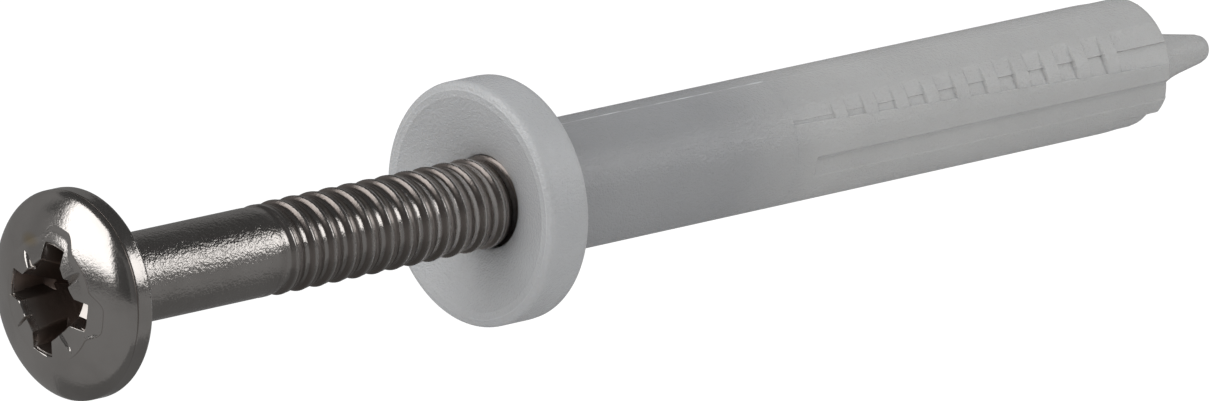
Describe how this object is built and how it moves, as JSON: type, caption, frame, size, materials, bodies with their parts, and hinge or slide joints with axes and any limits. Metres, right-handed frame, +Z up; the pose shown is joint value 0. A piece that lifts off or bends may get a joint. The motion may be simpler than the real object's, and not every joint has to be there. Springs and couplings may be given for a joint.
{
  "type": "wall anchor",
  "caption": "Hammer-in wall anchor: a collared plastic sleeve with two slit expansion legs, and a domed cross-recess drive screw standing proud, ready to be driven.",
  "frame": {"origin": "centre of the collar's underside, which bears on the fixture", "axes": "+Y along the anchor's axis towards the sleeve's tip, -Y to the screw's head, +Z up as pictured"},
  "size_m": [0.011, 0.0701, 0.011],
  "materials": {
    "steel": "bright plated steel, smooth on the head and shank, rolled on the thread",
    "nylon": "natural translucent nylon with a finely textured surface"
  },
  "bodies": {
    "sleeve": {"sleeve": "nylon"},
    "screw": {"drive_screw": "steel"},
    "leg_upper": {"leg_upper": "nylon"},
    "leg_lower": {"leg_lower": "nylon"}
  },
  "joints": [
    {"name": "screw_drive", "type": "slide", "parent": "sleeve", "child": "screw", "axis": [0, 1, 0], "range_m": [0, 0.0224]},
    {"name": "leg_upper_hinge", "type": "hinge", "parent": "sleeve", "child": "leg_upper", "pos_m": [-0.00145, 0.015, 0.00262], "axis": [0.8746, 0, 0.4848], "range_deg": [0, 3]},
    {"name": "leg_lower_hinge", "type": "hinge", "parent": "sleeve", "child": "leg_lower", "pos_m": [0.00145, 0.015, -0.00262], "axis": [-0.8746, 0, -0.4848], "range_deg": [0, 3]}
  ],
  "couplings": [
    {"joint": "leg_upper_hinge", "follows": "screw_drive", "rad_per_m": 2.3374},
    {"joint": "leg_lower_hinge", "follows": "screw_drive", "rad_per_m": 2.3374}
  ]
}
